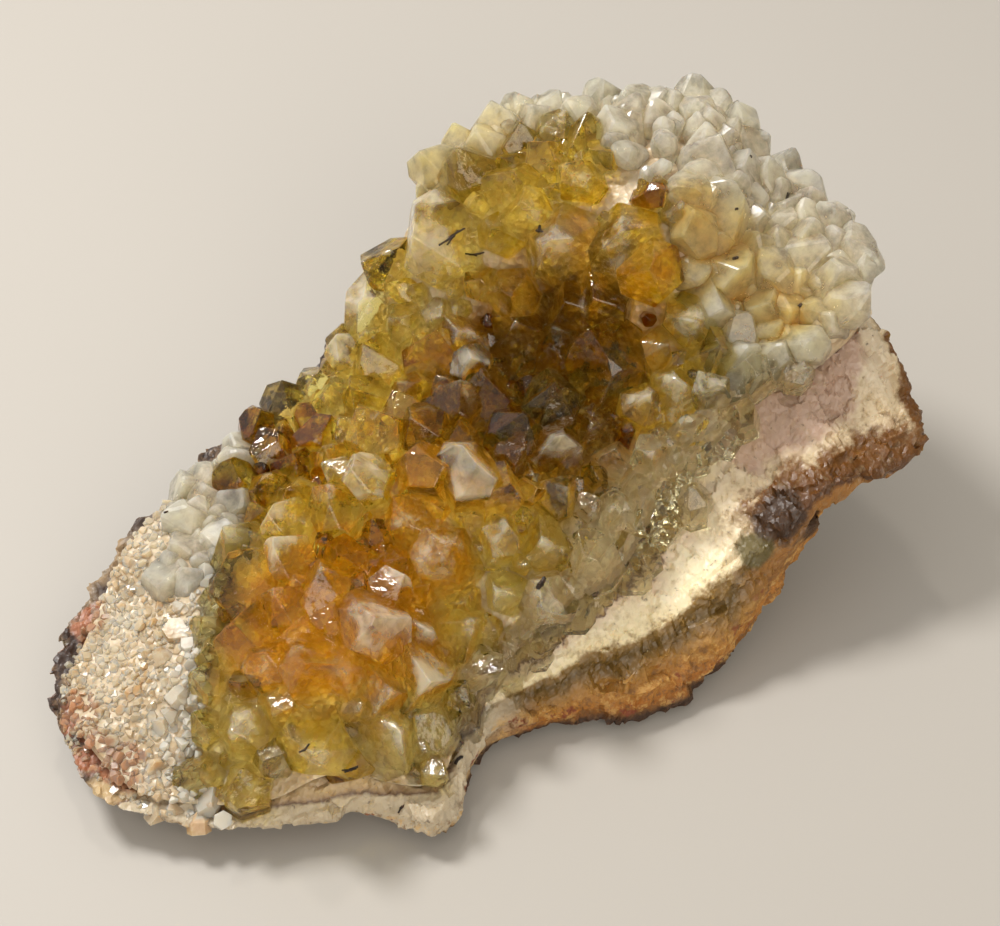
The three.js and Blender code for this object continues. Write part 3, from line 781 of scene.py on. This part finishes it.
for least, most, tries, crowding in FILL_SIZES:
    spots = []
    for _ in range(tries):
        px, py = fill_rng.uniform(*FILL_X), fill_rng.uniform(*FILL_Y)
        pr = fill_rng.uniform(least, most)
        frosty = on_dome(px, py) > 0
        if flank(px, py) > (8 if frosty else 0):
            continue
        near = np.array(standing)
        closeness = crowding * (0.62 if frosty else 1.0)
        gap = np.hypot(near[:, 0] - px, near[:, 1] - py) - closeness * (near[:, 2] + pr)
        if gap.min() > 0 and inside_bed(px, py):
            standing.append((px, py, pr))
            spots.append((px, py, pr))
    px, py, pr = np.array(spots).T
    lean = fill_rng.normal(size=(2, len(px))) * 0.38
    high = pr * fill_rng.uniform(0.8, 1.5, len(px))
    knobbly = np.array([on_dome(a, b) + fill_rng.normal() * 0.6 > 0 for a, b in zip(px, py)])
    by_face = ~knobbly & np.array([beside_face(a, b) + fill_rng.normal() > 0 for a, b in zip(px, py)])
    crown = np.clip((py - 8) / 6, 0, 1) * np.clip((px - 10) / 6, 0, 1) * CROWN_LIFT
    high = np.where(knobbly, pr * fill_rng.uniform(0.6, 0.95, len(px)) + crown, high)
    tints = [tint_near(a, b) for a, b in zip(px, py)]
    places = np.stack([px, py, bed_height(px, py)], -1)
    axes = with_lean(px, py, lean[0], lean[1])
    root = np.full(len(px), FILL_ROOT)
    for growth, chosen, worn in (
        (golden, ~knobbly & ~by_face, FILL_WORN), (pale, by_face, FILL_WORN), (frosted, knobbly, KNOB_WORN),
    ):
        growth.stand(
            places[chosen], axes[chosen], pr[chosen], high[chosen], root[chosen],
            [tint for tint, take in zip(tints, chosen) if take], fill_rng, worn=worn, uneven=0.7,
        )

# Down the broken face the crystals stand cut through, seen from the side: columns that lean on each
# other, pale at the slab and yellow to olive towards the left lobe.
FACE_RIM = [
    (-20, -22.5), (-15, -19), (1, -18), (14, -13), (28, -12), (40, -14), (45, -9),
]
FACE_WAIST = [
    (-21.5, -26.5, 5.5), (-15, -21.5, 6.5), (1, -24, 8), (14, -25, 12), (29, -24, 19), (42, -25, 20),
    (45, -17, 26),
]
COLUMN_ROWS = [  # how far down the face, and from where to where along it
    (0.0, -20, 34), (0.14, -20, 24), (0.27, -18, 16),
]
COLUMN_STEP, COLUMN_ROOT, COLUMN_WORN = 1.5, 3.5, 0.06
COLUMN_TINTS = ["clear", "champagne", "olive"]
SLAB_FROM_X = 22
SLAB_SHARES, LOBE_SHARES = [0.5, 0.4, 0.1], [0.35, 0.4, 0.25]
column_rng = np.random.default_rng(23)


def broken_face(x_here, share):
    """Places on the broken face, from the rim of the bed at share 0 to the waist of the wall at share 1."""
    rim_x, rim_y = np.array(FACE_RIM, float).T
    waist_x, waist_y, waist_z = np.array(FACE_WAIST, float).T
    top_y = np.interp(x_here, rim_x, rim_y)
    top = np.stack([x_here, top_y, bed_height(x_here, top_y)], -1)
    foot = np.stack([x_here, np.interp(x_here, waist_x, waist_y), np.interp(x_here, waist_x, waist_z)], -1)
    return top + (foot - top) * np.asarray(share)[..., None]


for share, from_x, to_x in COLUMN_ROWS:
    count = int((to_x - from_x) / COLUMN_STEP)
    across = np.linspace(from_x, to_x, count) + column_rng.uniform(-0.7, 0.7, count)
    places = broken_face(across, share + column_rng.uniform(-0.07, 0.07, count))
    size = column_rng.uniform(1.3, 2.6, count)
    lean_x, lean_y = column_rng.normal(0, 0.22, count), column_rng.normal(-0.12, 0.22, count)
    axes = np.stack([lean_x, lean_y, np.ones(count)], -1)
    axes /= np.linalg.norm(axes, axis=1, keepdims=True)
    tints = [
        column_rng.choice(COLUMN_TINTS, p=SLAB_SHARES if place > SLAB_FROM_X else LOBE_SHARES)
        for place in across
    ]
    height_here = size * column_rng.uniform(0.2, 1.0, count)
    root = np.full(count, COLUMN_ROOT)
    pale.stand(places, axes, size, height_here, root, tints, column_rng, worn=COLUMN_WORN)

POINT_IOR = 1.544
CLEAR_TONES = [
    (0.0, as_colour(250, 248, 238)), (0.3, as_colour(250, 242, 204)), (0.58, as_colour(248, 228, 124)),
    (0.8, as_colour(250, 214, 60)), (1.0, as_colour(156, 90, 6)),
]
MILKY_TONES = [
    (0.0, as_colour(234, 226, 204)), (0.3, as_colour(236, 216, 166)), (0.56, as_colour(230, 186, 62)),
    (0.8, as_colour(206, 148, 14)), (1.0, as_colour(112, 64, 4)),
]


def points_finish(name, stain, stain_density, deepest):
    f = Finish(name)
    lot, above, milkiness = f.attribute("lot"), f.attribute("above"), f.attribute("milk")
    veil, cloud = f.grain(1.4, 3, 0.65, 0.8), f.grain(4.5, 2, 0.6, 0.4)
    rise = (above * 0.19).held()
    warmth = f.attribute("warmth")
    # The tone pales with height above the bed: partly the crystals' own colour, partly painted sheen on the
    # tips and painted shade at the roots
    crystal_tone_and_painted_sheen = 0.14 + warmth * 0.92 + (lot - 0.5) * 0.2 - rise * 0.55
    tone = (crystal_tone_and_painted_sheen + (veil - 0.5) * 0.7 + (cloud - 0.5) * 0.9) * deepest
    relief = f.relief(f.grain(1.1, 3) + f.cells(1.5) * 0.5, 0.13)
    frost = (milkiness + (lot - 0.5) * 0.5 + (cloud - 0.5) * 0.8).held()
    clear = f.node("BsdfPrincipled", {}, {
        "Base Color": f.toned(tone, CLEAR_TONES),
        "Roughness": 0.02 + 0.18 * frost, "IOR": POINT_IOR, "Transmission Weight": 1.0,
        "Normal": relief,
    })
    milk = f.node("BsdfPrincipled", {}, {
        "Base Color": f.toned(tone, MILKY_TONES),
        "Roughness": 0.16 + 0.15 * veil, "IOR": POINT_IOR, "Normal": relief,
        "Subsurface Weight": 0.7, "Subsurface Radius": (1.0, 0.75, 0.35), "Subsurface Scale": 3.5 * MM,
    })
    # Milkier towards the tips: partly frost on the tips, partly painted sheen
    tip_frost_and_painted_sheen = rise * rise * (1.1 - warmth * 0.9) * (0.3 + veil * 1.3)
    clouded = (0.5 - veil) * 1.6 + (0.5 - cloud) * 1.8 + (lot - 0.5) * 0.3
    share = (milkiness * 0.8 + tip_frost_and_painted_sheen * 0.8 - 0.46 + clouded).over(0.0, 0.9) * 0.46
    surface = f.node("MixShader", {}, {0: share, 1: clear, 2: milk})
    volume = f.node("VolumeAbsorption", {}, {"Color": stain, "Density": stain_density})
    return f.show(surface, volume)


for growth, name, stain, stain_density, deepest in (
    (golden, "golden_points", (0.98, 0.89, 0.03, 1), 170, 1.0),
    (pale, "pale_points", (0.98, 0.91, 0.35, 1), 45, 0.45),
):
    points = growth.join(name)
    points.data.materials.append(points_finish(name, stain, stain_density, deepest))
    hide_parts("crystal_crust")
    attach(points, "root")

# The frosted knobs of the dome's far side and behind the flank: quartz points worn blunt and cloudy,
# greenish white, with yellow patches towards the golden points and the broken face.
YELLOW_SPOTS = [(31, -2), (28, 1), (34, -9)]
KNOB_CLEAR = [
    (0.0, as_colour(246, 244, 234)), (0.5, as_colour(248, 236, 196)), (1.0, as_colour(248, 212, 110)),
]
KNOB_MILK = [
    (0.0, as_colour(232, 226, 208)), (0.35, as_colour(224, 216, 186)), (0.6, as_colour(230, 208, 146)),
    (1.0, as_colour(222, 170, 70)),
]


def knobs_finish():
    f = Finish("frosted_knobs")
    veil, cloud = f.grain(2.2, 4, 0.6), f.grain(8, 3, 0.55)
    tone = 0.1 + f.attribute("yellowish") * 0.75 + (cloud - 0.5) * 0.7 + (veil - 0.5) * 0.3
    relief = f.relief(f.grain(0.7, 4) + f.grain(2.2, 2), 0.05)
    clear = f.node("BsdfPrincipled", {}, {
        "Base Color": f.toned(tone, KNOB_CLEAR),
        "Roughness": 0.1 + 0.25 * veil, "IOR": POINT_IOR, "Transmission Weight": 1.0, "Normal": relief,
    })
    milk = f.node("BsdfPrincipled", {}, {
        "Base Color": f.toned(tone, KNOB_MILK),
        "Roughness": 0.24 + 0.15 * veil, "IOR": POINT_IOR, "Normal": relief,
        "Subsurface Weight": 1.0, "Subsurface Radius": (1.0, 0.95, 0.8), "Subsurface Scale": 6 * MM,
    })
    share = (0.6 + (veil - 0.5) * 1.2 + (f.attribute("lot") - 0.5) * 0.3).over(0.0, 0.9) * 0.55
    surface = f.node("MixShader", {}, {0: share, 1: clear, 2: milk})
    volume = f.node("VolumeAbsorption", {}, {"Color": (0.9, 0.88, 0.7, 1), "Density": 30})
    return f.show(surface, volume)


knobs = frosted.join("frosted_knobs")
plan = points_of(knobs.data) / MM - PLAN_SHIFT
yellow_side = np.clip((29 - plan[:, 0]) / 16, 0, 1) * np.clip((plan[:, 0] + 12) / 10, 0, 1)
yellowish = np.maximum(yellow_side * 0.6, near_spots(plan[:, :2], YELLOW_SPOTS, 5.0))
mark(knobs.data, "yellowish", yellowish)
knobs.data.materials.append(knobs_finish())
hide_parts("crystal_crust")
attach(knobs, "root")

# The left flank is the wall broken across: sugary quartz grains of half a millimetre to three, pinkish
# beige with rust-red stains, that sparkle, and whiter, icier quartz next to the points.
GRAIN_SIZES = [  # least and most radius, number of tries, and how closely they crowd
    (1.0, 1.6, 1200, 0.7), (0.45, 0.8, 9000, 0.52), (0.3, 0.42, 12000, 0.58),
]
GRAIN_X, GRAIN_Y = (-58, -24), (-29, 26)
BED_SHARE, LEDGE_SHARE = 1.02, 1.075
ABOVE_ALL = 60
DOWN = Vector((0, 0, -1))
grain_rng = np.random.default_rng(31)
sugar = Growth()
massive_faces = [tuple(face.vertices) for face in massive.data.polygons]
ledge = BVHTree.FromPolygons([tuple(p) for p in worked], massive_faces)
laid = [(-60.0, 0.0, 0.1)]
for least, most, tries, crowding in GRAIN_SIZES:
    spots = []
    for _ in range(tries):
        px, py = grain_rng.uniform(*GRAIN_X), grain_rng.uniform(*GRAIN_Y)
        pr = grain_rng.uniform(least, most)
        out = flank(px, py)
        if out < -1 or on_dome(px, py) > 0.5 and out < 7 or (most > 1.5 and out > 5):
            continue
        if not inside_bed(px, py, LEDGE_SHARE):
            continue
        near = np.array(laid)
        if (np.hypot(near[:, 0] - px, near[:, 1] - py) - crowding * (near[:, 2] + pr)).min() < 0:
            continue
        height = float(bed_height(px, py))
        if not inside_bed(px, py, BED_SHARE):
            hit, normal, _, _ = ledge.ray_cast(Vector(in_frame((px, py, ABOVE_ALL))), DOWN)
            if hit is None or normal.z < 0.35:
                continue
            height = hit.z / MM
        laid.append((px, py, pr))
        spots.append((px, py, pr, height, out))
    px, py, pr, height, out = np.array(spots).T
    axes = grain_rng.normal(size=(len(px), 3)) * 0.8 + (0, 0, 0.6)
    axes /= np.linalg.norm(axes, axis=1, keepdims=True)
    places = np.stack([px, py, height - pr * 0.45 + grain_rng.uniform(-0.1, 0.12, len(px))], -1)
    tints = ["icy" if far < 3.5 + grain_rng.normal() * 1.2 else "sugar" for far in out]
    sugar.stand(places, axes, pr, pr * 0.7, pr * 0.9, tints, grain_rng, worn=0.0, uneven=0.8)

SUGAR_TONES = [
    (0.15, as_colour(236, 224, 202)), (0.45, as_colour(222, 200, 168)), (0.65, as_colour(204, 172, 136)),
    (0.85, as_colour(174, 134, 98)),
]
ICE_WHITE = as_colour(222, 214, 198)
OCHRE = as_colour(178, 138, 76)


def sugar_finish():
    f = Finish("sugary_quartz")
    lot = f.attribute("lot")
    patch, cloud, fine = f.grain(7, 3, 0.6, 0.4), f.grain(4, 4, 0.6), f.grain(1.2, 3, 0.6)
    tone = cloud + (lot - 0.5) * 0.25 + (fine - 0.5) * 0.3
    colour = f.toned(tone, SUGAR_TONES)
    colour = f.mixed(ICE_WHITE, colour, (f.attribute("warmth") + (cloud - 0.5) * 0.6).over(0.2, 0.8))
    colour = f.mixed(colour, OCHRE, patch.over(0.5, 0.62) * fine.over(0.42, 0.6) * 0.6)
    rusty = (f.attribute("rust") + (cloud - 0.5) * 0.9 + (fine - 0.5) * 0.6).over(0.35, 0.65)
    colour = f.mixed(colour, RUST_RED, rusty * 0.7)
    clear = f.node("BsdfPrincipled", {}, {
        "Base Color": f.mixed(as_colour(244, 236, 222), colour, 0.5), "Roughness": 0.12, "IOR": POINT_IOR,
        "Transmission Weight": 1.0,
    })
    dull = f.node("BsdfPrincipled", {}, {
        "Base Color": colour, "Roughness": 0.12 + 0.4 * lot, "IOR": POINT_IOR,
        "Normal": f.relief(fine, 0.05),
        "Subsurface Weight": 0.7, "Subsurface Radius": (1.0, 0.8, 0.6), "Subsurface Scale": 2.0 * MM,
    })
    return f.show(f.node("MixShader", {}, {0: 0.5 + 0.4 * lot, 1: clear, 2: dull}))


grains = sugar.join("sugary_flank")
plan = points_of(grains.data) / MM - PLAN_SHIFT
rust = near_spots(plan, RUST_SPOTS, 3.2)
mark(grains.data, "rust", rust)
grains.data.materials.append(sugar_finish())
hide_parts("crystal_crust")
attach(grains, "root")

# Dark mineral specks and hairline cracks filled with dark clay, scattered over the crystals. Each is a
# thin crooked sliver pressed into the surface where a line from above meets it.
SLIVERS = [  # plan x, y, half length and half width in millimetres, and the turn in plan in degrees
    (6.5, 20.5, 1.3, 0.13, 20), (8.5, 18.6, 0.8, 0.1, -30), (14, 13, 0.8, 0.16, 60), (43, 3, 0.8, 0.12, 35),
    (31, -2.5, 0.25, 0.2, 0), (35, -10, 0.25, 0.2, 0), (33, 0.5, 0.2, 0.14, 0), (-22, -25.5, 0.4, 0.22, 10),
    (-7, -19, 0.6, 0.3, 40), (-42, 8, 0.2, 0.14, 0), (-36, 15, 0.2, 0.14, 0), (-30, -27, 0.5, 0.12, 15),
    (-34, -23.5, 0.7, 0.12, -10), (-38, -21.5, 0.5, 0.1, 5), (40, 7, 0.4, 0.1, 70), (20, 16, 0.2, 0.15, 0),
]
sliver_rng = np.random.default_rng(41)
dark = Growth()
ON_TOP = ["massive_quartz", "golden_points", "pale_points", "frosted_knobs", "sugary_flank"]
under = [BVHTree.FromObject(bpy.data.objects[name], bpy.context.evaluated_depsgraph_get()) for name in ON_TOP]
for px, py, half_length, half_width, turn in SLIVERS:
    hits = [tree.ray_cast(Vector(in_frame((px, py, ABOVE_ALL))), DOWN)[0] for tree in under]
    hits = [hit for hit in hits if hit is not None]
    top = max(hits, key=lambda hit: hit.z)
    along = np.array([math.cos(math.radians(turn)), math.sin(math.radians(turn)), 0])
    stand = np.array([px, py, top.z / MM])
    for step in (-1, 0, 1):
        place = stand + along * half_length * 0.55 * step + sliver_rng.normal(size=3) * 0.08 * half_length
        body = quartz_bodies(np.array([half_width]), np.array([half_length]), half_length, sliver_rng)[0]
        across = along + sliver_rng.normal(size=3) * 0.25
        placed = body[0] @ upright_to(across / np.linalg.norm(across), 0.4).T + place
        dark.add(placed, body[1], 0.0, {})


def speck_finish():
    f = Finish("dark_specks")
    grain = f.grain(0.4, 3)
    surface = f.node("BsdfPrincipled", {}, {
        "Base Color": f.mixed(as_colour(34, 24, 18), as_colour(78, 54, 34), grain.over(0.45, 0.7)),
        "Roughness": 0.5 + 0.3 * grain,
    })
    return f.show(surface)


specks = dark.join("dark_specks")
specks.data.materials.append(speck_finish())
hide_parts("crystal_crust")
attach(specks, "root")

# The studio: a plain pale floor, a soft window light and a small lamp from behind, a broad dim light
# from the room in front, and the camera at the photograph's angle.
FLOOR_SIZE = 1.6
FLOOR_COLOUR = as_colour(178, 173, 166)
SKY_TONES = [(0.0, (0.26, 0.22, 0.16, 1)), (0.4, (0.56, 0.53, 0.48, 1)), (1.0, (1.0, 0.98, 0.95, 1))]
CAMERA_AZIMUTH, CAMERA_ELEVATION = math.radians(-33), math.radians(45)
CAMERA_DISTANCE, CAMERA_LENS = 0.212, 65
CAMERA_TARGET = Vector((4.5 * MM, -1.45 * MM, 18 * MM))

floor_mesh = bpy.data.meshes.new("floor")
corners = [(a * FLOOR_SIZE, b * FLOOR_SIZE, 0) for a, b in ((-1, -1), (1, -1), (1, 1), (-1, 1))]
floor_mesh.from_pydata(corners, [], [(0, 1, 2, 3)])
floor = bpy.data.objects.new("floor", floor_mesh)
bpy.context.scene.collection.objects.link(floor)
floor_finish = Finish("floor")
floor.data.materials.append(floor_finish.show(floor_finish.node("BsdfPrincipled", {}, {
    "Base Color": FLOOR_COLOUR, "Roughness": 0.6,
})))


def area_light(name, azimuth, elevation, distance, size, power, colour):
    """A soft light that looks at the specimen from an azimuth and elevation in degrees."""
    data = bpy.data.lights.new(name, "AREA")
    data.shape, data.size, data.energy, data.color = "DISK", size, power, colour
    light = bpy.data.objects.new(name, data)
    a, e = math.radians(azimuth), math.radians(elevation)
    back = Vector((math.sin(a) * math.cos(e), -math.cos(a) * math.cos(e), math.sin(e)))
    light.location = CAMERA_TARGET + back * distance
    light.rotation_euler = back.to_track_quat("Z", "Y").to_euler()
    bpy.context.scene.collection.objects.link(light)


area_light("window", 205, 56, 0.5, 0.13, 2.1, (1.0, 0.98, 0.95))
area_light("lamp", 160, 62, 0.6, 0.05, 0.35, (1.0, 0.93, 0.82))
area_light("room", -10, 30, 0.9, 0.7, 3.8, (1.0, 0.95, 0.86))

world = bpy.data.worlds.new("studio")
world.use_nodes = True
sky = world.node_tree
coordinates = sky.nodes.new("ShaderNodeTexCoord")
brighter_side = sky.nodes.new("ShaderNodeVectorMath")
brighter_side.operation = "DOT_PRODUCT"
brighter_side.inputs[1].default_value = (-0.35, 0.5, 0.79)
sky.links.new(coordinates.outputs["Generated"], brighter_side.inputs[0])
sky_tones = sky.nodes.new("ShaderNodeValToRGB")
Finish.set_stops(sky_tones.color_ramp, SKY_TONES)
sky.links.new(brighter_side.outputs["Value"], sky_tones.inputs["Fac"])
sky.links.new(sky_tones.outputs["Color"], sky.nodes["Background"].inputs["Color"])
sky.nodes["Background"].inputs["Strength"].default_value = 0.85
bpy.context.scene.world = world
bpy.context.scene.view_settings.view_transform = "Standard"

camera_data = bpy.data.cameras.new("camera")
camera_data.lens = CAMERA_LENS
camera_data.sensor_width = 36
camera_data.clip_start, camera_data.clip_end = 0.005, 10
camera = bpy.data.objects.new("camera", camera_data)
camera_back = Vector((
    math.sin(CAMERA_AZIMUTH) * math.cos(CAMERA_ELEVATION),
    -math.cos(CAMERA_AZIMUTH) * math.cos(CAMERA_ELEVATION),
    math.sin(CAMERA_ELEVATION),
))
camera.location = CAMERA_TARGET + camera_back * CAMERA_DISTANCE
camera.rotation_mode = "QUATERNION"
camera.rotation_quaternion = (-camera_back).to_track_quat("-Z", "Y")
bpy.context.scene.collection.objects.link(camera)
bpy.context.scene.camera = camera
